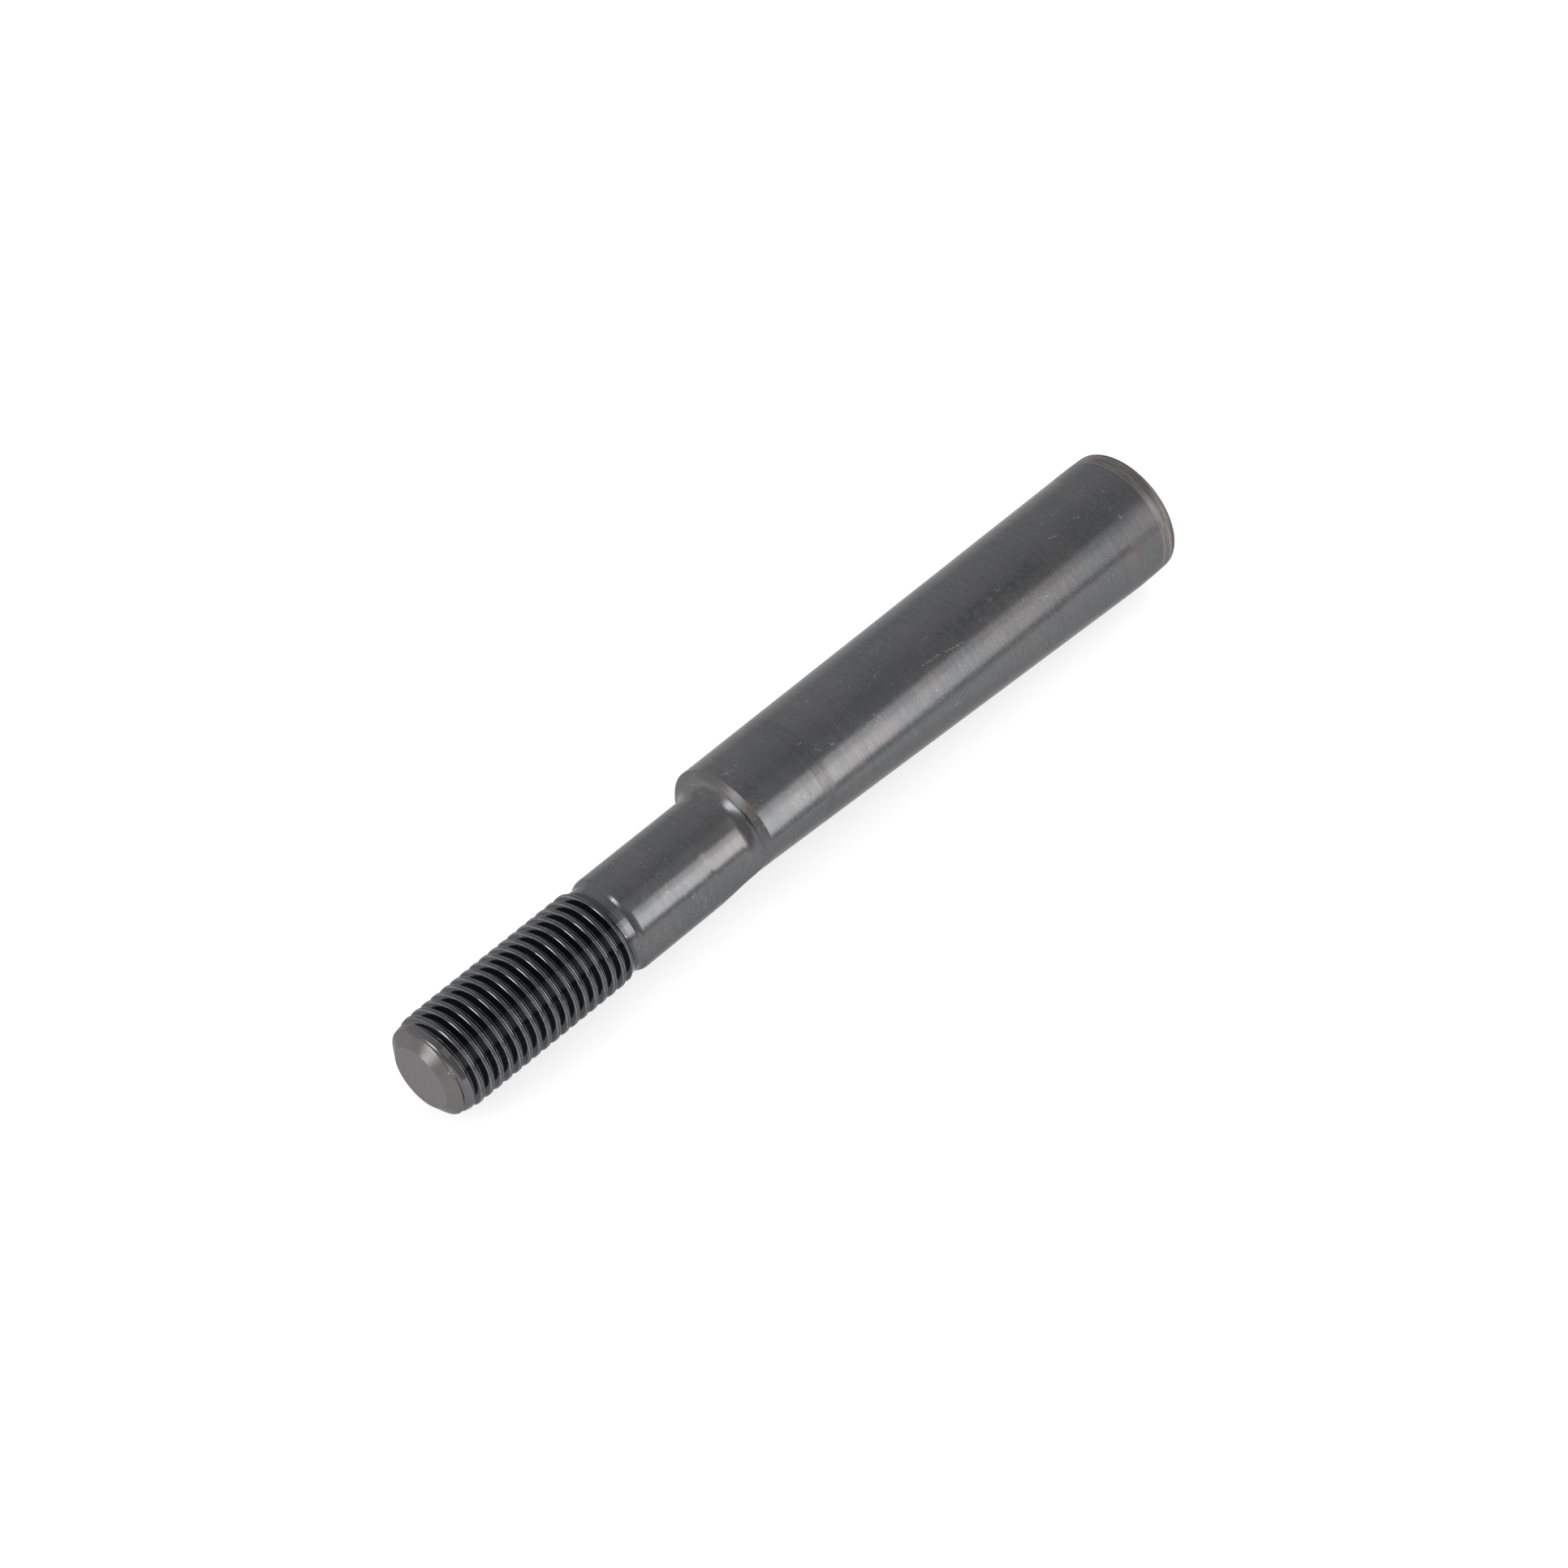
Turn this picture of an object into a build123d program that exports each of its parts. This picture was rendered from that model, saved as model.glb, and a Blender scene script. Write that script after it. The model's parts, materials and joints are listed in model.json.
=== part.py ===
from build123d import *
import math
import os

# Threaded wedge pin, turned and ground from one steel bar.
#
# The pin lies along X. Its origin is the centre of the flat end face of the big end, and +X runs
# through the body, the shoulder, the neck and the thread to the tip. A long relief is cut into the
# body: it is deepest at the shoulder, dies out near the big end, and runs out into the neck.
# All sizes are in millimetres.

# --- driving dimensions -------------------------------------------------------------------------
body_diameter = 40.0
body_length = 169.0            # big end face to shoulder face
stud_length = 114.0            # shoulder face to tip
neck_diameter = 29.5

lead_length = 5.0              # slightly tapered band at the big end
lead_drop = 0.2                # what the lead takes off the radius at the end face
end_rounding = 0.5

shoulder_chamfer = 1.6
shoulder_fillet = 4.8          # hollow from the neck up to the inner edge of the chamfer

thread_nominal = 30.0          # M30 x 3.5, right hand
thread_crest_diameter = 29.5   # over the rounded crests
thread_pitch = 3.5
thread_length = 65.0           # tip to the plain land
thread_root_diameter = 25.7
thread_phase = 0.5             # where the crest at angle 0 lies beyond the end of the thread
flank_angle = 30.0
crest_rounding = 0.25          # height of the rounded crest above the straight flanks
runout_length = 2.0            # over which the last crest sinks into the land
runout_overlap = 0.8           # how far the sunk crest reaches over the land

tip_face_diameter = 20.0
tip_chamfer_diameter = 27.0    # where the steep chamfer at the tip ends
tip_chamfer_length = 2.6
tip_lead_length = 5.0          # over which the first crests rise to their full height

land_diameter = 27.3           # plain land at the pitch diameter
land_length = 3.8
neck_chamfer_angle = 38.0      # slope of the step from the land up to the neck
neck_edge_rounding = 1.5

relief_radius = 22.0           # radius of the relief across the pin
relief_core = 12.76            # axis to the relief's middle line, at the shoulder
relief_end = 8.0               # big end face to where the relief dies out
relief_turn = 30.0             # the relief's middle faces this far from -Z, towards +Y
relief_runout_radius = 82.0    # curve in which the relief leaves the neck
relief_runout_angle = 16.0

joint_overlap = 0.15           # how far joined shapes are sunk into each other
cut_margin = 1.0               # how far cutting shapes reach past what they cut

# --- worked out from them -----------------------------------------------------------------------
body_radius = body_diameter / 2
neck_radius = neck_diameter / 2
land_radius = land_diameter / 2
crest_radius = thread_crest_diameter / 2
root_radius = thread_root_diameter / 2
tip_face_radius = tip_face_diameter / 2
tip_chamfer_radius = tip_chamfer_diameter / 2

tip_x = body_length + stud_length
bar_end_x = tip_x + thread_pitch
thread_end_x = tip_x - thread_length
land_end_x = thread_end_x - land_length
neck_step = (neck_radius - land_radius) / math.tan(math.radians(neck_chamfer_angle))
neck_end_x = land_end_x - neck_step

hollow_height = body_radius - shoulder_chamfer - neck_radius
hollow_length = math.sqrt(shoulder_fillet**2 - (shoulder_fillet - hollow_height)**2)


def edges_at(shape, x):
    """The round edges of a turned shape that lie in the plane at x."""
    circles = shape.edges().filter_by(GeomType.CIRCLE)
    return circles.filter_by(lambda edge: abs(edge.center().X - x) < 0.01)


def turned_blank():
    """The pin as turned, left long at the tip, with a root cylinder where the thread goes."""
    outline = Polyline(
        (body_length, body_radius - shoulder_chamfer),
        (body_length - shoulder_chamfer, body_radius),
        (lead_length, body_radius),
        (0, body_radius - lead_drop),
        (0, 0),
        (bar_end_x, 0),
        (bar_end_x, root_radius),
        (thread_end_x + land_radius - root_radius, root_radius),
        (thread_end_x, land_radius),
        (land_end_x, land_radius),
        (neck_end_x, neck_radius),
        (body_length + hollow_length, neck_radius),
    )
    corner = RadiusArc(outline @ 1, outline @ 0, shoulder_fillet)
    blank = revolve(make_face(outline + corner), Axis.X)
    blank = fillet(edges_at(blank, 0), end_rounding)
    return fillet(edges_at(blank, neck_end_x), neck_edge_rounding)


def thread_ridge():
    """The helical ridge of the right-hand thread, sunk into the land where it ends."""
    start_x = thread_end_x + thread_phase - thread_pitch
    slope = math.tan(math.radians(flank_angle))
    sharp_radius = thread_nominal / 2 + thread_pitch / 16 / slope
    foot_radius = root_radius - joint_overlap
    flank_radius = crest_radius - crest_rounding
    foot = (sharp_radius - foot_radius) * slope
    flank = (sharp_radius - flank_radius) * slope

    path = Helix(thread_pitch, bar_end_x - start_x, crest_radius)
    section_plane = Plane(path @ 0, x_dir=(1, 0, 0), z_dir=path % 0)
    flanks = Polyline(
        (-crest_rounding, -flank),
        (foot_radius - crest_radius, -foot),
        (foot_radius - crest_radius, foot),
        (-crest_rounding, flank),
    )
    crest = ThreePointArc(flanks @ 1, (0, 0), flanks @ 0)
    ridge = sweep(section_plane * make_face(flanks + crest), path, is_frenet=True)
    ridge = Plane((start_x, 0, 0), x_dir=(0, 1, 0), z_dir=(1, 0, 0)) * ridge

    sunk_x = thread_end_x - runout_overlap
    limits = Polyline(
        (sunk_x, 0),
        (sunk_x, land_radius - joint_overlap / 3),
        (sunk_x + runout_length, crest_radius),
        (sunk_x + runout_length, body_radius),
        (bar_end_x - cut_margin, body_radius),
        (bar_end_x - cut_margin, 0),
        close=True,
    )
    return ridge & revolve(make_face(limits), Axis.X)


def tip_cutter():
    """What the end face, the chamfer and the lead on the first crests take off the tip."""
    chamfer_x = tip_x - tip_chamfer_length
    lead_slope = (crest_radius - tip_chamfer_radius) / tip_lead_length
    outer_radius = crest_radius + cut_margin
    outer_x = chamfer_x - (outer_radius - tip_chamfer_radius) / lead_slope
    past_x = bar_end_x + cut_margin
    outline = Polyline(
        (tip_x, 0),
        (tip_x, tip_face_radius),
        (chamfer_x, tip_chamfer_radius),
        (outer_x, outer_radius),
        (past_x, outer_radius),
        (past_x, 0),
        close=True,
    )
    return revolve(make_face(outline), Axis.X)


def relief_cutter():
    """What the relief takes away: straight along the body, then curving out of the neck."""
    slope = math.atan((body_radius - relief_core) / (body_length - relief_end))
    backward = Vector(-math.cos(slope), 0, -math.sin(slope))
    length = (body_length + cut_margin) / math.cos(slope)
    plane = Plane((body_length, 0, -relief_core), x_dir=(0, 1, 0), z_dir=(1, 0, 0))

    half_width = body_radius + cut_margin
    depth = body_radius - relief_core + cut_margin
    around = Rectangle(2 * half_width, relief_radius + depth, align=(Align.CENTER, Align.MIN))
    section = plane * (Pos(0, -depth) * around - Pos(0, relief_radius) * Circle(relief_radius))
    hub = Axis((body_length, 0, -relief_core - relief_runout_radius), (0, 1, 0))
    straight = extrude(section, amount=length, dir=backward)
    runout = revolve(section, hub, relief_runout_angle)
    return Rot(relief_turn, 0, 0) * (straight + runout)


wedge_pin = turned_blank() + thread_ridge() - tip_cutter() - relief_cutter()

os.makedirs("parts", exist_ok=True)
export_step(wedge_pin, "parts/wedge_pin.step")
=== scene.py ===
import json
import math

import bmesh
import bpy
import numpy as np
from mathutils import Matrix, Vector


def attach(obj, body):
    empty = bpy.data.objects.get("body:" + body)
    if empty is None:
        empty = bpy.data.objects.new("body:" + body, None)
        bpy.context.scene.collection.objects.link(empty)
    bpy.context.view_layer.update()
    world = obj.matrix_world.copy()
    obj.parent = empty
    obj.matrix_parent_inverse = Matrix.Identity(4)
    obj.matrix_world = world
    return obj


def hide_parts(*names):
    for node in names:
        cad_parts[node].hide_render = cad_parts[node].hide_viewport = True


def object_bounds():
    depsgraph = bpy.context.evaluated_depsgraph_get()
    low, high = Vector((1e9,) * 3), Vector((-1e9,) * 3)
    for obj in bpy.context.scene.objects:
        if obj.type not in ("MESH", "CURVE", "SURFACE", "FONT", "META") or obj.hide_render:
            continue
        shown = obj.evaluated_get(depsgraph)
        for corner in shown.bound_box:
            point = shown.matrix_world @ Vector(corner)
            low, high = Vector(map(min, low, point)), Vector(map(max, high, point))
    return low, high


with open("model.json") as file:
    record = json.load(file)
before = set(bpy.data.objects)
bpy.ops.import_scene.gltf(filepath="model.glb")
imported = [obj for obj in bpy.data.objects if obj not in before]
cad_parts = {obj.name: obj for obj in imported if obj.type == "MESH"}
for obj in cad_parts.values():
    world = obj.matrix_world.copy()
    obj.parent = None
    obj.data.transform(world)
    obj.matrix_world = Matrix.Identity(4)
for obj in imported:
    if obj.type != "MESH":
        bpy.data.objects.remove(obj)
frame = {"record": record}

CAD_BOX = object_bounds()
MM = 0.001

# --- the pin's sizes, in millimetres --------------------------------------------------------------
# What the record states comes from it, and the rest are the CAD model's own named sizes.
MOUNTS = {m["name"]: m for m in frame["record"]["mounts"]}
TIP_X = CAD_BOX[1].x / MM
BODY_R = MOUNTS["body"]["dims"]["r_mm"]
NECK_R = MOUNTS["neck_pin"]["dims"]["r_mm"]
CREST_R = MOUNTS["thread"]["dims"]["r_mm"]
SHOULDER_X = TIP_X - 114.0

LEAD = 5.0                        # slightly tapered band at the big end
LEAD_DROP = 0.2
END_ROUND = 0.5
CHAMFER = 1.6
HOLLOW_R = 4.8                    # hollow between the neck and the shoulder chamfer
THREAD_END_X = TIP_X - 65.0
LAND_R = 13.65
LAND_X = THREAD_END_X - 3.8
STEP_ANGLE = 38.0                 # slope of the step from the land up to the neck
STEP_X = LAND_X - (NECK_R - LAND_R) / math.tan(math.radians(STEP_ANGLE))
ROOT_R = 12.85
PITCH = 3.5
CREST_X = THREAD_END_X + 0.5      # the crest at angle 0
FLANK = 30.0
HUMP_OFF = 0.33                   # the rolled crest closes in two humps with a seam between them
HUMP_HALF = 0.17
HUMP_DROP = 0.1
SEAM_DEPTH = 0.1
ROOT_ROUND = 0.35                 # rounding between the flanks and the root
RUNOUT = 2.0                      # over which the last crest sinks into the land
RUNOUT_OVERLAP = 0.8
RUNOUT_SINK = 0.05
FIRST_GROOVE = 4.4                # how far behind the tip the first groove has its full depth
FIRST_GROOVE_RAMP = 3.6
FIRST_GROOVE_CURVE = 1.6
FIRST_GROOVE_DEPTH = 0.6          # what is left of its depth where it begins
TIP_FACE_R = 9.7
TIP_CHAMFER_R = 13.5
TIP_CHAMFER = 2.6
TIP_LEAD = 5.0
TIP_CHAMFER_ROUND = 0.3
TIP_LEAD_ROUND = 0.2

RELIEF_R = 22.0
RELIEF_CORE = 12.76
RELIEF_END = 8.0
RELIEF_TURN = math.radians(-60)   # the relief's middle, measured from +Y towards +Z
RELIEF_RUNOUT_R = 82.0
RELIEF_ROUND = 0.14
RELIEF_FADE = (0.35, 0.35)        # edge angle where columns start to follow the edges, and over which
RELIEF_CLEAR = 0.5                # how far the relief's line clears the neck past its run-out
EDGE = 0.12                       # rounding of edges too small to be in the CAD model

# --- the skin's mesh ------------------------------------------------------------------------------
COLUMNS = 288
ROWS_PER_PITCH = 36
CROWDING = 0.55                   # how much closer the thread's rows are on its crests
END_CROWDING = 0.8                # the same for the two ends of a straight run
EDGE_CROWDING = 0.75              # the same for columns at the relief's edges
BODY_ROWS, NECK_ROWS, FACE_ROWS, TIP_ROWS = 150, 50, 24, 16
THREAD_START = 2.0                # how far before the thread's end its helical rows begin
WELD = 2e-6                       # metres
NO_LENGTH = 1e-6


def arc(cx, cr, radius, start, stop, count):
    """Points (x, r) on an arc about (cx, cr), angles in degrees from +x towards +r."""
    angles = np.radians(np.linspace(start, stop, count))
    return [(cx + radius * math.cos(a), cr + radius * math.sin(a)) for a in angles]


def run(start, stop, count):
    """Points (x, r) on a straight run, closer together towards its two ends."""
    u = np.linspace(0, 1, count)
    u = u - END_CROWDING * np.sin(2 * np.pi * u) / (2 * np.pi)
    return [(start[0] + (stop[0] - start[0]) * v, start[1] + (stop[1] - start[1]) * v) for v in u]


def outline():
    """The turned outline from the middle of the big end to the start of the thread."""
    end_r = BODY_R - LEAD_DROP
    points = run((0, 0.6), (0, end_r - END_ROUND), FACE_ROWS)
    points += arc(END_ROUND, end_r - END_ROUND, END_ROUND, 180, 92, 6)[1:]
    points += run((END_ROUND + 0.15, end_r + 0.02), (LEAD - 0.15, BODY_R - 0.01), 12)
    points += run((LEAD, BODY_R), (SHOULDER_X - CHAMFER - EDGE, BODY_R), BODY_ROWS)
    points += run((SHOULDER_X - CHAMFER + EDGE * 0.7, BODY_R - EDGE * 0.7),
                  (SHOULDER_X - EDGE * 2.5, BODY_R - CHAMFER + EDGE * 2.5), 8)
    rise = BODY_R - CHAMFER - NECK_R
    length = math.sqrt(HOLLOW_R ** 2 - (HOLLOW_R - rise) ** 2)
    top = 180 + math.degrees(math.asin(1 - rise / HOLLOW_R))
    points += arc(SHOULDER_X + length, NECK_R + HOLLOW_R, HOLLOW_R, top + 7, 270, 22)
    points += run((SHOULDER_X + length + 0.1, NECK_R), (STEP_X - 0.8, NECK_R), NECK_ROWS)
    points += run((STEP_X - 0.3, NECK_R - 0.06), (STEP_X + 0.45, NECK_R - 0.32), 5)
    points += run((STEP_X + 0.6, NECK_R - 0.43), (LAND_X - 0.1, LAND_R + 0.06), 5)
    points += run((LAND_X + 0.1, LAND_R), (THREAD_END_X - THREAD_START, LAND_R), 6)
    return np.array(points)


def relief_depth(x):
    """Distance from the axis to the middle line of the relief at x."""
    straight = RELIEF_CORE + (SHOULDER_X - x) * (BODY_R - RELIEF_CORE) / (SHOULDER_X - RELIEF_END)
    inside = np.clip(RELIEF_RUNOUT_R ** 2 - (x - SHOULDER_X) ** 2, 0, None)
    curved = np.minimum(RELIEF_CORE + RELIEF_RUNOUT_R - np.sqrt(inside), NECK_R + RELIEF_CLEAR)
    return np.where(x <= SHOULDER_X, straight, curved)


def relief_radius(x, turn):
    """Distance from the axis to the relief's surface, turn being the angle from its middle."""
    offset = RELIEF_R - relief_depth(x)
    inside = np.clip(RELIEF_R ** 2 - (offset * np.sin(turn)) ** 2, 0, None)
    return np.sqrt(inside) - offset * np.cos(turn)


def relief_edge(x, r):
    """Angle from the relief's middle at which its surface leaves a circle of radius r."""
    offset = RELIEF_R - relief_depth(x)
    cosine = (RELIEF_R ** 2 - r ** 2 - offset ** 2) / (2 * r * np.where(offset > 0.01, offset, 0.01))
    return np.arccos(np.clip(cosine, -1, 1))


def column_angles(edge, pinch):
    """Angles from the relief's middle of one row's columns: a third of them inside the edges."""
    inner = COLUMNS // 3
    u = np.arange(inner) / inner
    u = u - pinch * np.sin(2 * np.pi * u) / (2 * np.pi)
    v = np.arange(COLUMNS - inner) / (COLUMNS - inner)
    v = v - pinch * np.sin(2 * np.pi * v) / (2 * np.pi)
    angles = np.concatenate([-edge + 2 * edge * u, edge + 2 * (math.pi - edge) * v])
    middle = inner + (COLUMNS - inner) // 2
    return np.concatenate([angles[middle:] - 2 * math.pi, angles[:middle]])


def smooth_min(a, b, width):
    """The smaller of two lengths, rounded over about width where they meet."""
    gap = np.clip((width - np.abs(a - b)) / width, 0, None)
    return np.minimum(a, b) - gap ** 2 * width / 4


def turned_rows():
    """Rows of points for everything but the thread: x, radius and angle arrays."""
    points = outline()
    rows = []
    for x, r in points:
        edge = float(relief_edge(np.array(x), max(r, 0.5))) if x > LEAD else 0.0
        share = min(max((edge - RELIEF_FADE[0]) / RELIEF_FADE[1], 0), 1)
        spread = max(edge, math.pi / 3 * (1 - share) + edge * share)
        rows.append((x, r, spread, EDGE_CROWDING * share))
    spreads = np.array([row[2] for row in rows])
    pinches = np.array([row[3] for row in rows])
    pinches[1:-1] = np.convolve(pinches, np.array([1, 2, 1]) / 4, "valid")
    turn = np.array([column_angles(s, p) for s, p in zip(spreads, pinches)])
    x = np.repeat(points[:, :1], COLUMNS, axis=1)
    r = np.repeat(points[:, 1:], COLUMNS, axis=1)
    cut = relief_radius(x, turn)
    r = np.where(x > LEAD, smooth_min(r, cut, RELIEF_ROUND), r)
    return x, r, turn


def thread_radius(x, angle):
    """Radius of the threaded part at x, angle being measured from +Y towards +Z."""
    off = (x - CREST_X - PITCH * angle / (2 * np.pi) + PITCH / 2) % PITCH - PITCH / 2
    from_hump = np.abs(off) - HUMP_OFF
    outer = CREST_R - HUMP_DROP * (from_hump / HUMP_HALF) ** 2
    inner = CREST_R - SEAM_DEPTH * (from_hump / HUMP_OFF) ** 2
    flank = CREST_R - HUMP_DROP - (from_hump - HUMP_HALF) / math.tan(math.radians(FLANK))
    ridge = np.where(from_hump > HUMP_HALF, flank, np.where(from_hump < 0, inner, outer))
    sunk = LAND_R - RUNOUT_SINK + (x - THREAD_END_X + RUNOUT_OVERLAP) * (CREST_R - LAND_R) / RUNOUT
    ridge = np.minimum(ridge, sunk)
    core = np.clip(LAND_R - (x - THREAD_END_X), ROOT_R, LAND_R)
    unrolled = np.clip((x - TIP_X + FIRST_GROOVE) / FIRST_GROOVE_RAMP, 0, 1) ** FIRST_GROOVE_CURVE
    core = core + unrolled * (CREST_R - FIRST_GROOVE_DEPTH - ROOT_R)
    body = -smooth_min(-ridge, -core, ROOT_ROUND)
    chamfer = TIP_FACE_R + (TIP_X - x) * (TIP_CHAMFER_R - TIP_FACE_R) / TIP_CHAMFER
    lead = TIP_CHAMFER_R + (TIP_X - TIP_CHAMFER - x) * (CREST_R - TIP_CHAMFER_R) / TIP_LEAD
    return smooth_min(smooth_min(body, lead, TIP_LEAD_ROUND), chamfer, TIP_CHAMFER_ROUND)


def thread_rows():
    """Rows of points that follow the helix, drawn onto the land at one end and the tip at the other."""
    turn = column_angles(math.pi / 3, 0)
    angle = RELIEF_TURN + turn
    share = np.arange(ROWS_PER_PITCH) / ROWS_PER_PITCH
    share = share - CROWDING * np.sin(2 * np.pi * share) / (2 * np.pi)
    first = math.floor((THREAD_END_X - THREAD_START - CREST_X) / PITCH) - 1
    last = math.ceil((TIP_X - CREST_X) / PITCH) + 2
    base = np.concatenate([CREST_X + PITCH * (k + share) for k in range(first, last)])
    x = base[:, None] + PITCH * angle[None, :] / (2 * np.pi)
    turn = np.repeat(turn[None, :], len(base), axis=0)
    x = np.clip(x, THREAD_END_X - THREAD_START, TIP_X)
    r = thread_radius(x, RELIEF_TURN + turn)
    r = np.where(x >= TIP_X, TIP_FACE_R, r)
    return x, r, turn


def tip_rows():
    """Rings of the flat end face."""
    turn = column_angles(math.pi / 3, 0)
    radii = np.array([p[1] for p in run((0, TIP_FACE_R), (0, 0.5), TIP_ROWS)])
    x = np.full((len(radii), COLUMNS), TIP_X)
    r = np.repeat(radii[:, None], COLUMNS, axis=1)
    return x, r, np.repeat(turn[None, :], len(radii), axis=0)


def ring_faces(rows, start):
    """Faces between straight rows of columns, the first vertex being number start."""
    i, j = np.meshgrid(np.arange(rows - 1), np.arange(COLUMNS), indexing="ij")
    k = (j + 1) % COLUMNS
    quad = [i * COLUMNS + j, i * COLUMNS + k, (i + 1) * COLUMNS + k, (i + 1) * COLUMNS + j]
    return start + np.stack(quad, -1).reshape(-1, 4)


def helix_faces(rows, start):
    """Faces between helical rows: past the last column a row goes on one pitch further along."""
    i, j = np.meshgrid(np.arange(rows - 1), np.arange(COLUMNS), indexing="ij")
    k = (j + 1) % COLUMNS
    jump = np.where(j == COLUMNS - 1, ROWS_PER_PITCH, 0)
    low, high = i + jump, i + 1 + jump
    keep = high < rows
    quad = [i * COLUMNS + j, low * COLUMNS + k, high * COLUMNS + k, (i + 1) * COLUMNS + j]
    return start + np.stack([q[keep] for q in quad], -1)


def make_skin():
    """The pin's visible surface, finer than the CAD mesh, with edges rounded like wear."""
    turned, thread, tip = turned_rows(), thread_rows(), tip_rows()
    parts = (turned, thread, tip)
    counts = [len(p[0]) for p in parts]
    x, r, turn = (np.concatenate([p[i] for p in parts]).ravel() for i in range(3))
    angle = RELIEF_TURN + turn
    co = np.stack([x, r * np.cos(angle), r * np.sin(angle)], -1) * MM
    offsets = [0, counts[0] * COLUMNS, (counts[0] + counts[1]) * COLUMNS]
    faces = [ring_faces(counts[0], 0), helix_faces(counts[1], offsets[1]),
             ring_faces(counts[2], offsets[2])]
    caps = [list(range(COLUMNS - 1, -1, -1)),
            list(range(len(co) - COLUMNS, len(co)))]
    mesh = bpy.data.meshes.new("wedge_pin_skin")
    mesh.from_pydata(co.tolist(), [], np.concatenate(faces).tolist() + caps)
    bm = bmesh.new()
    bm.from_mesh(mesh)
    bmesh.ops.remove_doubles(bm, verts=bm.verts, dist=WELD)
    bmesh.ops.dissolve_degenerate(bm, edges=bm.edges, dist=NO_LENGTH)
    bmesh.ops.recalc_face_normals(bm, faces=bm.faces)
    bm.to_mesh(mesh)
    bm.free()
    mesh.shade_smooth()
    skin = bpy.data.objects.new("wedge_pin_skin", mesh)
    bpy.context.scene.collection.objects.link(skin)
    return skin


class Shader:
    """A node material built up from short calls that return output sockets."""

    def __init__(self, name):
        self.material = bpy.data.materials.new(name)
        self.material.use_nodes = True
        self.tree = self.material.node_tree
        self.bsdf = self.tree.nodes["Principled BSDF"]

    def add(self, kind, settings=None, **links):
        node = self.tree.nodes.new("ShaderNode" + kind)
        for key, value in (settings or {}).items():
            setattr(node, key, value)
        for key, value in links.items():
            self.put(node.inputs[key.replace("_", " ")], value)
        return node

    def put(self, socket, value):
        if isinstance(value, bpy.types.NodeSocket):
            self.tree.links.new(value, socket)
        else:
            socket.default_value = value

    def math(self, operation, *values):
        node = self.tree.nodes.new("ShaderNodeMath")
        node.operation = operation
        for socket, value in zip(node.inputs, values):
            self.put(socket, value)
        return node.outputs[0]

    def vector(self, operation, *values):
        node = self.tree.nodes.new("ShaderNodeVectorMath")
        node.operation = operation
        for socket, value in zip(node.inputs, values):
            self.put(socket, value)
        return node.outputs["Value" if operation in ("LENGTH", "DISTANCE", "DOT_PRODUCT") else "Vector"]

    def step(self, value, low, high, start=0.0, stop=1.0):
        """A smooth change from start to stop as value goes from low to high."""
        node = self.tree.nodes.new("ShaderNodeMapRange")
        node.interpolation_type = "SMOOTHSTEP"
        for socket, number in zip(node.inputs, (value, low, high, start, stop)):
            self.put(socket, number)
        return node.outputs[0]

    def noise(self, place, scale, detail=2.0, roughness=0.5, squash=(1, 1, 1)):
        """Noise from about -1 to 1, scale being features per millimetre."""
        moved = self.vector("MULTIPLY", place, tuple(v * scale for v in squash))
        node = self.add("TexNoise", Vector=moved, Scale=1.0, Detail=detail, Roughness=roughness)
        return self.step(node.outputs["Fac"], 0.25, 0.75, -1.0, 1.0)

    def mix(self, factor, a, b, blend="MIX"):
        node = self.tree.nodes.new("ShaderNodeMix")
        node.data_type = "RGBA"
        node.blend_type = blend
        self.put(node.inputs["Factor"], factor)
        for socket, value in ((node.inputs[6], a), (node.inputs[7], b)):
            self.put(socket, value if isinstance(value, bpy.types.NodeSocket) else (*value, 1))
        return node.outputs[2]

    def scratch(self, place, start, stop, width):
        """1 on a line from start to stop, 0 outside width; all in millimetres."""
        start, stop = Vector(start), Vector(stop)
        along = stop - start
        offset = self.vector("SUBTRACT", place, tuple(start))
        share = self.vector("DOT_PRODUCT", offset, tuple(along / along.length_squared))
        share = self.math("MINIMUM", self.math("MAXIMUM", share, 0.0), 1.0)
        scaled = self.tree.nodes.new("ShaderNodeVectorMath")
        scaled.operation = "SCALE"
        scaled.inputs[0].default_value = along
        self.put(scaled.inputs["Scale"], share)
        gap = self.vector("LENGTH", self.vector("SUBTRACT", offset, scaled.outputs[0]))
        return self.step(gap, width * 0.4, width, 1.0, 0.0)


def on_pin(x, degrees, radius=BODY_R):
    """The point at x on a cylinder, at an angle measured from +Y towards +Z, in millimetres."""
    angle = math.radians(degrees)
    return (x, radius * math.cos(angle), radius * math.sin(angle))


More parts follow.
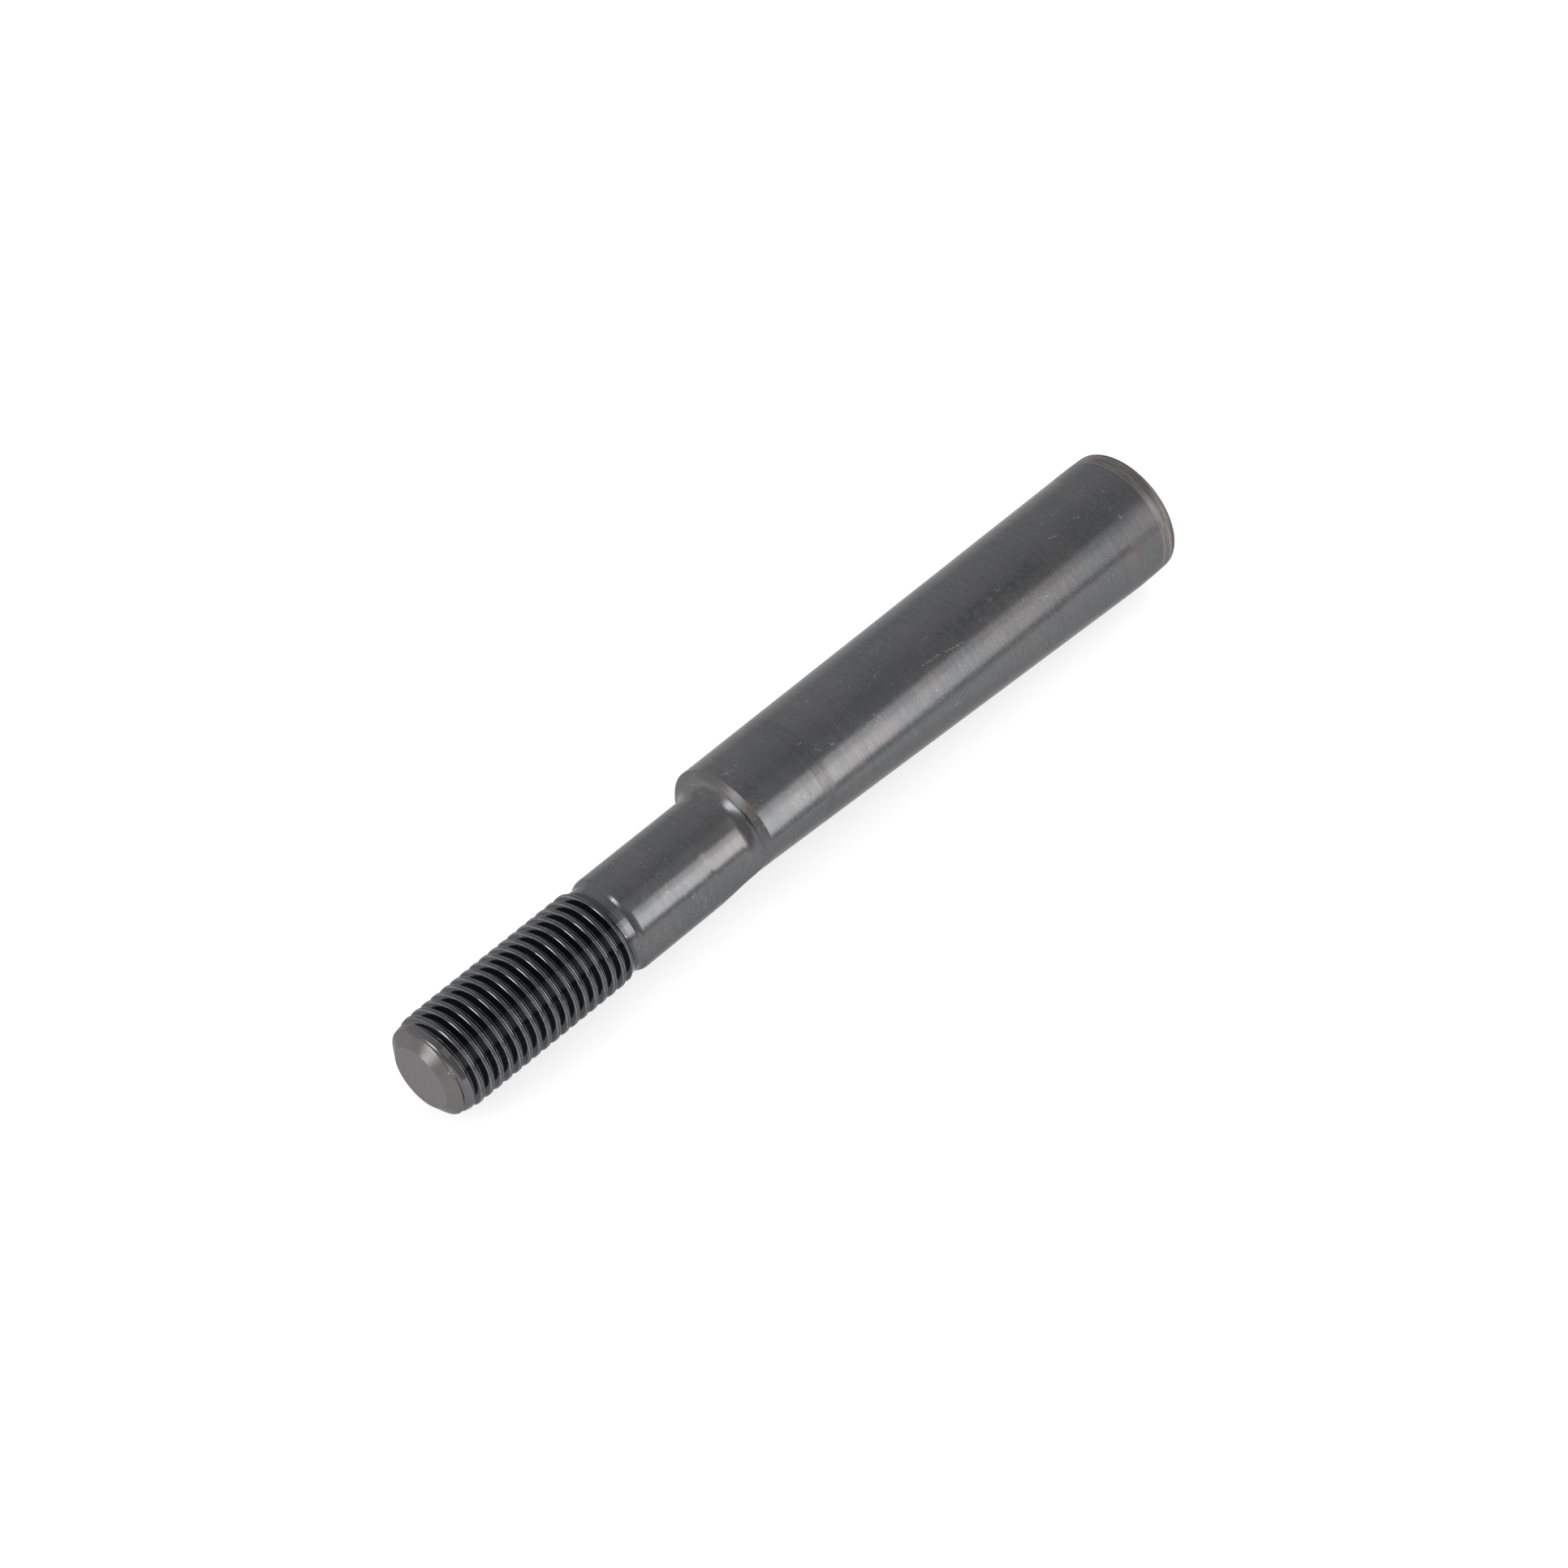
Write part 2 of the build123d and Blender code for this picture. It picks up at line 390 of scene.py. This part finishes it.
# Scratches and knocks: (x, angle, x, angle, radius, width).
SCRATCHES = (
    (165.6, 99, 162.6, 96, BODY_R, 0.28), (163.8, 101, 161.9, 95, BODY_R, 0.2),
    (165.0, 96, 160.5, 98, BODY_R, 0.18), (144.0, 78, 141.4, 77, BODY_R, 0.3),
    (140.8, 66, 139.9, 63, BODY_R, 0.45), (136.0, 61.5, 135.4, 60, BODY_R, 0.5),
    (97.8, 64.4, 92.4, 63.2, BODY_R, 0.4), (92.8, 65.8, 90.9, 62, BODY_R, 0.26),
    (89.5, 61.8, 82.2, 58.3, BODY_R, 0.34), (119.8, 58.2, 119.0, 55.0, BODY_R, 0.4),
    (155.0, 28, 152.6, 27.4, BODY_R, 0.22), (152.5, 26.8, 153.4, 24.5, BODY_R, 0.2),
    (37.9, 81.3, 35.8, 79, BODY_R, 0.4), (27.2, 81, 25.8, 80, BODY_R, 0.5),
    (15.6, 59, 15.4, 56.5, BODY_R, 0.5), (15.8, 69.5, 15.2, 68.6, BODY_R, 0.5),
    (218.6, 42.5, 217.2, 38.4, LAND_R, 0.22), (70.5, 70, 62.0, 74, BODY_R, 0.2),
    (116.0, 78, 109.0, 84, BODY_R, 0.18), (54.0, 48, 50.2, 44, BODY_R, 0.2),
    (128.0, 200, 117.0, 207, BODY_R, 0.25), (60.0, 250, 57.0, 238, BODY_R, 0.3),
    (96.0, 165, 92.0, 150, BODY_R, 0.22), (190.0, 140, 186.0, 133, NECK_R, 0.22),
)


# Painted highlight lines on the two lips of the rolled crest: (place along X from its middle, half
# width).
CREST_HIGHLIGHT_LINES = ((0.5, 0.13), (-0.32, 0.12))

# Reflection colours of the oxide and of what shows through it, and colours for painted highlight and
# painted shade.
TEAL, BROWN, DEEP_TEAL = (0.119, 0.1225, 0.1275), (0.131, 0.128, 0.1305), (0.104, 0.115, 0.117)
# The thread's colours: painted shade over its grooves, flanks and crest seam, painted highlight lines
# on the crest's two lips, and the worn first crest behind the tip.
GROOVE_SHADE, LIP_HIGHLIGHT, FIRST_CREST = (0.066, 0.07, 0.078), (0.185, 0.18, 0.18), (0.14, 0.134, 0.135)
TIP_CONE, TIP_DISC, CHAMFER_RING = (0.138, 0.13, 0.13), (0.168, 0.161, 0.165), (0.145, 0.14, 0.14)
TURNED_LOW, TURNED_HIGH = (0.082, 0.074, 0.072), (0.32, 0.3, 0.295)
# The bare-metal colour also paints a highlight line along the edge of the big end's band.
BARE_AND_HIGHLIGHT, STAIN, RUST = (0.33, 0.325, 0.32), (0.07, 0.085, 0.085), (0.2, 0.13, 0.085)
GRAZING = (0.62, 0.62, 0.62, 1)

# Roughness of plain oxide, and what each place or mark adds to it.
ROUGHNESS = 0.24
PATCH_ROUGH, GRAIN_ROUGH, RUST_ROUGH = 0.02, 0.035, 0.25
END_ROUGH, THREAD_ROUGH, TURNED_ROUGH, RING_ROUGH, CONE_ROUGH = 0.1, 0.12, 0.12, 0.2, 0.17
BUMP_HEIGHT = 0.000007            # metres
MARK_RINGS = (141.2, 142.4, 145.6, 146.6)     # where deep circumferential marks begin and end
STAIN_LINE = ((86, 72.3), (50, 72.3), 3.2)    # from, to, width
RUST_SPOTS = ((167.6, 63), (17.0, 28))


def oxide_with_painted_light(name, anisotropic):
    """Black oxide on ground steel: grinding lines, wear on the edges, knocks, a little rust, and
    painted light: highlight lines and shade on the thread, a highlight line at the big end's band edge.
    """
    sh = Shader(name)
    place = sh.vector("MULTIPLY", sh.add("TexCoord").outputs["Object"], (1000, 1000, 1000))
    axes = sh.add("SeparateXYZ", Vector=place)
    x = axes.outputs[0]
    flat = sh.vector("MULTIPLY", place, (0, 1, 1))
    radius = sh.vector("LENGTH", flat)

    # where things are
    thread = sh.step(x, LAND_X + 1.0, LAND_X + 3.2)
    tip = sh.math("MULTIPLY", sh.step(x, TIP_X - 0.12, TIP_X - 0.02), sh.step(radius, 9.6, 10.0, 1, 0))
    chamfer = sh.math("SUBTRACT", sh.step(x, TIP_X - TIP_CHAMFER - 0.9, TIP_X - TIP_CHAMFER - 0.2), tip)
    ring = sh.math("MULTIPLY", sh.step(x, SHOULDER_X - 1.7, SHOULDER_X - 1.5),
                   sh.step(x, SHOULDER_X + 0.02, SHOULDER_X + 0.1, 1, 0))
    band = sh.step(x, LEAD - 0.25, LEAD + 0.15, 1, 0)
    wander = sh.noise(place, 0.09, 1.0)
    soft_end = sh.step(sh.math("ADD", x, sh.math("MULTIPLY", wander, 2.2)), 15.0, 16.4, 1, 0)

    # grain
    lines = sh.noise(place, 1.0, 3.0, 0.65, (5.0, 0.06, 0.06))
    rings = sh.noise(sh.add("CombineXYZ", X=radius).outputs[0], 2.5, 3.0, 0.65)
    big_end = sh.step(x, 0.05, 0.3, 1, 0)
    lines = sh.math("ADD", sh.math("MULTIPLY", lines, sh.math("SUBTRACT", 1.0, big_end)),
                    sh.math("MULTIPLY", rings, sh.math("MULTIPLY", big_end, 0.45)))
    broad = sh.noise(place, 1.0, 2.0, 0.6, (0.9, 0.05, 0.05))
    grain = sh.noise(place, 1.5, 3.0, 0.7, (1.2, 0.7, 0.7))
    cloud = sh.noise(place, 0.05, 3.0, 0.55)
    patch = sh.noise(place, 0.16, 3.0, 0.6)
    groove = sh.math("MULTIPLY", sh.step(x, *MARK_RINGS[:2]), sh.step(x, *MARK_RINGS[2:], 1, 0))

    # colour
    colour = sh.mix(sh.step(cloud, -0.6, 0.6), TEAL, BROWN)
    colour = sh.mix(sh.math("MULTIPLY", sh.step(patch, 0.3, 0.9), 0.35), colour, DEEP_TEAL)
    streak = sh.math("ADD", 1.0, sh.math("MULTIPLY", broad, 0.06))
    streak = sh.math("ADD", streak, sh.math("MULTIPLY", grain, 0.11))
    dark = sh.math("MULTIPLY", groove, sh.step(lines, -0.1, 0.6, 0, 0.28))
    streak = sh.math("SUBTRACT", streak, dark)
    grey = sh.add("CombineColor", Red=streak, Green=streak, Blue=streak).outputs[0]
    colour = sh.mix(1.0, colour, grey, "MULTIPLY")
    turned = sh.math("ARCTAN2", axes.outputs[2], axes.outputs[1])
    from_crest = sh.math("SUBTRACT", x, sh.math("MULTIPLY", turned, PITCH / (2 * math.pi)))
    from_crest = sh.math("FLOORED_MODULO", sh.math("SUBTRACT", from_crest, CREST_X - PITCH / 2), PITCH)
    # Painted light on the thread: highlight lines on the two crest lips and painted shade everywhere
    # else on it, both following the helix.
    lip_highlight = None
    for at, half in CREST_HIGHLIGHT_LINES:
        gap = sh.math("ABSOLUTE", sh.math("SUBTRACT", from_crest, PITCH / 2 + at))
        one = sh.step(gap, half * 0.5, half * 1.6, 1, 0)
        lip_highlight = one if lip_highlight is None else sh.math("MAXIMUM", lip_highlight, one)
    lip_highlight = sh.math("MULTIPLY", lip_highlight, sh.step(sh.noise(place, 0.5, 3.0), -0.8, 0.6, 0.6, 1.0))
    first = sh.step(x, TIP_X - 7.5, TIP_X - 5.0)
    thread_light_and_wear = sh.mix(lip_highlight, GROOVE_SHADE, LIP_HIGHLIGHT)
    thread_light_and_wear = sh.mix(sh.math("MULTIPLY", first, 0.7), thread_light_and_wear, FIRST_CREST)
    colour = sh.mix(thread, colour, thread_light_and_wear)
    colour = sh.mix(chamfer, colour, TIP_CONE)
    colour = sh.mix(tip, colour, TIP_DISC)
    turned_steel = sh.mix(sh.step(lines, -0.5, 0.7), TURNED_LOW, TURNED_HIGH)
    colour = sh.mix(sh.math("MULTIPLY", band, 0.9), colour, turned_steel)
    colour = sh.mix(sh.math("MULTIPLY", ring, 0.8), colour, CHAMFER_RING)

    # wear: edges, knocks and specks show brighter metal, and a painted highlight line runs along the
    # edge of the big end's band
    edge = sh.add("NewGeometry").outputs["Pointiness"]
    edge_wear_and_highlight = sh.math("MULTIPLY", sh.step(edge, 0.56, 0.7), sh.step(grain, -0.4, 0.5, 0.3, 1.0))
    below = sh.step(axes.outputs[2], 5.0, 6.0, 1, 0)
    ends = sh.math("MAXIMUM", sh.step(x, SHOULDER_X - 2.4, SHOULDER_X - 2.2), band)
    edge_wear_and_highlight = sh.math("MULTIPLY", edge_wear_and_highlight, sh.math("MAXIMUM", below, ends))
    marks = None
    for x1, a1, x2, a2, r, width in SCRATCHES:
        mark = sh.scratch(place, on_pin(x1, a1, r), on_pin(x2, a2, r), width)
        marks = mark if marks is None else sh.math("MAXIMUM", marks, mark)
    marks = sh.math("MULTIPLY", marks, sh.step(sh.noise(place, 1.6, 2.0), -0.3, 0.4, 0.0, 1.0))
    specks = sh.math("MULTIPLY", sh.step(sh.noise(place, 1.1, 1.0), 0.72, 0.95, 0, 0.5),
                     sh.step(sh.noise(place, 0.12, 2.0), 0.1, 0.5))
    # Painted highlight: a bright line along the edge of the big end's band, mixed into the wear mask.
    lead_edge_highlight = sh.step(sh.math("ABSOLUTE", sh.math("SUBTRACT", x, LEAD + 0.1)), 0.12, 0.42, 0.55, 0)
    edge_wear_and_highlight = sh.math("MAXIMUM", edge_wear_and_highlight, lead_edge_highlight)
    bright = sh.math("MAXIMUM", edge_wear_and_highlight, sh.math("MAXIMUM", marks, specks))
    colour = sh.mix(sh.math("MULTIPLY", bright, 0.6), colour, BARE_AND_HIGHLIGHT)
    stain = sh.scratch(place, on_pin(*STAIN_LINE[0]), on_pin(*STAIN_LINE[1]), STAIN_LINE[2])
    stain = sh.math("MULTIPLY", stain, sh.step(sh.noise(place, 0.45, 2.0), -0.1, 0.5))
    colour = sh.mix(sh.math("MULTIPLY", stain, 0.5), colour, STAIN)
    rust_at = sh.vector("DISTANCE", place, on_pin(*RUST_SPOTS[0]))
    rust = sh.math("MULTIPLY", sh.step(rust_at, 0.6, 3.4, 1, 0),
                   sh.step(sh.noise(place, 1.3, 3.0), 0.1, 0.6))
    red_at = sh.vector("DISTANCE", place, on_pin(*RUST_SPOTS[1]))
    rust = sh.math("MAXIMUM", rust, sh.math("MULTIPLY", sh.step(red_at, 1.0, 5.0, 0.5, 0),
                                            sh.step(sh.noise(place, 0.7, 3.0), 0.0, 0.6)))
    band_rust = sh.math("MULTIPLY", band, sh.step(sh.noise(place, 0.5, 3.0), 0.4, 0.9, 0, 0.4))
    rust = sh.math("MAXIMUM", rust, band_rust)
    colour = sh.mix(rust, colour, RUST)

    # gloss
    turned_face = sh.math("MAXIMUM", tip, band)
    rough = ROUGHNESS
    for where, change in ((patch, PATCH_ROUGH), (grain, GRAIN_ROUGH), (soft_end, END_ROUGH),
                          (thread, -THREAD_ROUGH), (turned_face, TURNED_ROUGH), (rust, RUST_ROUGH),
                          (ring, RING_ROUGH), (chamfer, CONE_ROUGH)):
        rough = sh.math("ADD", rough, sh.math("MULTIPLY", where, change))

    # surface: grinding lines all over, coarse at the big end, faint on the thread and the tip face
    height = sh.math("MULTIPLY", lines, sh.step(band, 0, 1, 0.35, 2.2))
    height = sh.math("ADD", height, sh.math("MULTIPLY", grain, 0.35))
    height = sh.math("ADD", height, sh.math("MULTIPLY", groove, lines))
    height = sh.math("SUBTRACT", height, sh.math("MULTIPLY", marks, 1.5))
    keep = sh.math("SUBTRACT", 1.0, sh.math("MULTIPLY", sh.math("MAXIMUM", thread, tip), 0.8))
    height = sh.math("MULTIPLY", height, keep)
    bump = sh.add("Bump", Strength=1.0, Distance=BUMP_HEIGHT, Height=height)

    bsdf = sh.bsdf
    sh.put(bsdf.inputs["Base Color"], colour)
    sh.put(bsdf.inputs["Roughness"], rough)
    sh.put(bsdf.inputs["Normal"], bump.outputs[0])
    bsdf.inputs["Metallic"].default_value = 1.0
    bsdf.inputs["Specular Tint"].default_value = GRAZING
    bsdf.inputs["Anisotropic"].default_value = anisotropic
    bsdf.inputs["Anisotropic Rotation"].default_value = 0.25
    tangent = sh.add("Tangent", {"direction_type": "RADIAL", "axis": "X"})
    sh.put(bsdf.inputs["Tangent"], tangent.outputs[0])
    return sh.material


# --- camera and lights, in metres and degrees -----------------------------------------------------
VIEW = (133.27, 49.34)            # azimuth and elevation
VIEW_LENS, VIEW_SENSOR = 97.55, 36
VIEW_DISTANCE = 1.174
VIEW_AIM = (2.9, -0.25, 0.15)     # millimetres from the middle of the CAD box


def add_camera():
    """The photograph's camera, not rolled."""
    azimuth, elevation = (math.radians(turn) for turn in VIEW)
    centre = (CAD_BOX[0] + CAD_BOX[1]) / 2
    aim = centre + Vector(VIEW_AIM) * MM
    back = Vector((math.sin(azimuth) * math.cos(elevation),
                   -math.cos(azimuth) * math.cos(elevation), math.sin(elevation)))
    data = bpy.data.cameras.new("camera")
    data.lens = VIEW_LENS
    data.sensor_width = VIEW_SENSOR
    camera = bpy.data.objects.new("camera", data)
    camera.location = aim + back * VIEW_DISTANCE
    camera.rotation_mode = "QUATERNION"
    camera.rotation_quaternion = (-back).to_track_quat("-Z", "Y")
    bpy.context.scene.collection.objects.link(camera)
    bpy.context.scene.camera = camera


# The surroundings: from Y, to Y, and the strength at each.
WORLD_FADE = (-1.0, 0.3, 0.85, 0.55)
WORLD_COLOUR = (0.99, 0.995, 1.01, 1)
FLOOR_SIZE, FLOOR_GREY, FLOOR_GLOW = 12, (0.5, 0.5, 0.5, 1), 0.62
SIDE_REACH = 0.6
# The side softbox in panels, dimmer towards the big end: (x, width, radiance).
SIDE_PANELS = ((0.05, 0.34, 2.9), (-0.15, 0.06, 4.9), (-0.205, 0.05, 2.2), (-0.26, 0.06, 1.5),
               (-0.32, 0.06, 1.05), (-0.4, 0.1, 0.8))
# Weak panels above and below it: (name, x, width, lower and upper elevation, radiance).
FILL_PANELS = (("upper_panel", 0.12, 0.5, 57, 80, 0.32), ("lower_panel", 0.0, 0.56, 2, 11.5, 0.16))
WARM = (1.0, 0.972, 0.95)
STRIP_PLACE, STRIP_SIZE, STRIP_RADIANCE = (0.86, -0.135, 0.45), (0.2, 0.82), 4.5
TOP_HEIGHT, TOP_SIZE, TOP_RADIANCE = 1.6, (2.5, 2.5), 0.7
# Its rows, as seen from the pin: (lower and upper elevation, share of the radiance).
SIDE_ROWS = ((11.5, 39, 1.05), (39, 53, 0.62))


def area_light(name, place, aim, size, radiance, glossy=True):
    """A rectangular softbox at place that faces aim."""
    data = bpy.data.lights.new(name, "AREA")
    data.shape = "RECTANGLE"
    data.size, data.size_y = size
    data.energy = radiance * math.pi * size[0] * size[1]
    light = bpy.data.objects.new(name, data)
    light.location = place
    light.rotation_mode = "QUATERNION"
    light.rotation_quaternion = (aim - place).to_track_quat("-Z", "Y")
    light.visible_glossy = glossy
    bpy.context.scene.collection.objects.link(light)
    return light


def side_panel(name, x, width, low_turn, high_turn, radiance):
    """A softbox beside the pin, between two elevations in degrees as seen from the pin."""
    middle = math.radians((low_turn + high_turn) / 2)
    half = math.radians((high_turn - low_turn) / 2)
    place = Vector((x, SIDE_REACH * math.cos(middle), SIDE_REACH * math.sin(middle)))
    size = (width, 2 * SIDE_REACH * math.tan(half))
    return area_light(name, place, Vector((x, 0, 0)), size, radiance)


def add_studio():
    """Pale floor, grey surroundings, one long softbox at the side and a fill for the floor."""
    low = CAD_BOX[0].z
    bpy.ops.mesh.primitive_plane_add(size=FLOOR_SIZE, location=(0.14, 0, low))
    floor = bpy.context.object
    floor.name = "floor"
    mat = bpy.data.materials.new("floor_paper")
    mat.use_nodes = True
    bsdf = mat.node_tree.nodes["Principled BSDF"]
    bsdf.inputs["Base Color"].default_value = FLOOR_GREY
    bsdf.inputs["Emission Color"].default_value = (1, 1, 1, 1)
    bsdf.inputs["Emission Strength"].default_value = FLOOR_GLOW
    bsdf.inputs["Roughness"].default_value = 0.9
    bsdf.inputs["Specular IOR Level"].default_value = 0.1
    floor.data.materials.append(mat)

    world = bpy.data.worlds.new("studio")
    world.use_nodes = True
    background = world.node_tree.nodes["Background"]
    background.inputs[0].default_value = WORLD_COLOUR
    coordinate = world.node_tree.nodes.new("ShaderNodeTexCoord")
    split = world.node_tree.nodes.new("ShaderNodeSeparateXYZ")
    fade = world.node_tree.nodes.new("ShaderNodeMapRange")
    fade.interpolation_type = "SMOOTHSTEP"
    for socket, value in zip(fade.inputs[1:5], WORLD_FADE):
        socket.default_value = value
    world.node_tree.links.new(coordinate.outputs["Generated"], split.inputs[0])
    world.node_tree.links.new(split.outputs[1], fade.inputs[0])
    world.node_tree.links.new(fade.outputs[0], background.inputs[1])
    bpy.context.scene.world = world

    for number, (x, width, radiance) in enumerate(SIDE_PANELS):
        for part, (low_turn, high_turn, share) in enumerate(SIDE_ROWS):
            light = side_panel("side_panel_%d_%d" % (number, part), x, width, low_turn, high_turn,
                               radiance * share)
            light.data.color = WARM
    for name, x, width, low_turn, high_turn, radiance in FILL_PANELS:
        side_panel(name, x, width, low_turn, high_turn, radiance)
    front = Vector(STRIP_PLACE)
    ahead = Vector((SHOULDER_X * MM, 0, front.z))
    area_light("front_strip", front, ahead, STRIP_SIZE, STRIP_RADIANCE)
    above = Vector((CAD_BOX[1].x / 2, 0, TOP_HEIGHT))
    under = Vector((above.x, 0, 0))
    area_light("floor_fill", above, under, TOP_SIZE, TOP_RADIANCE, glossy=False)


skin = make_skin()
skin.data.materials.append(oxide_with_painted_light("ground_oxide", 0.5))
skin.data.materials.append(oxide_with_painted_light("rolled_oxide", 0.0))
for face in skin.data.polygons:
    face.material_index = int(face.center.x > (THREAD_END_X - 1.5) * MM)
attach(skin, "root")
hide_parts("wedge_pin")
add_camera()
add_studio()
bpy.context.scene.view_settings.view_transform = "Standard"
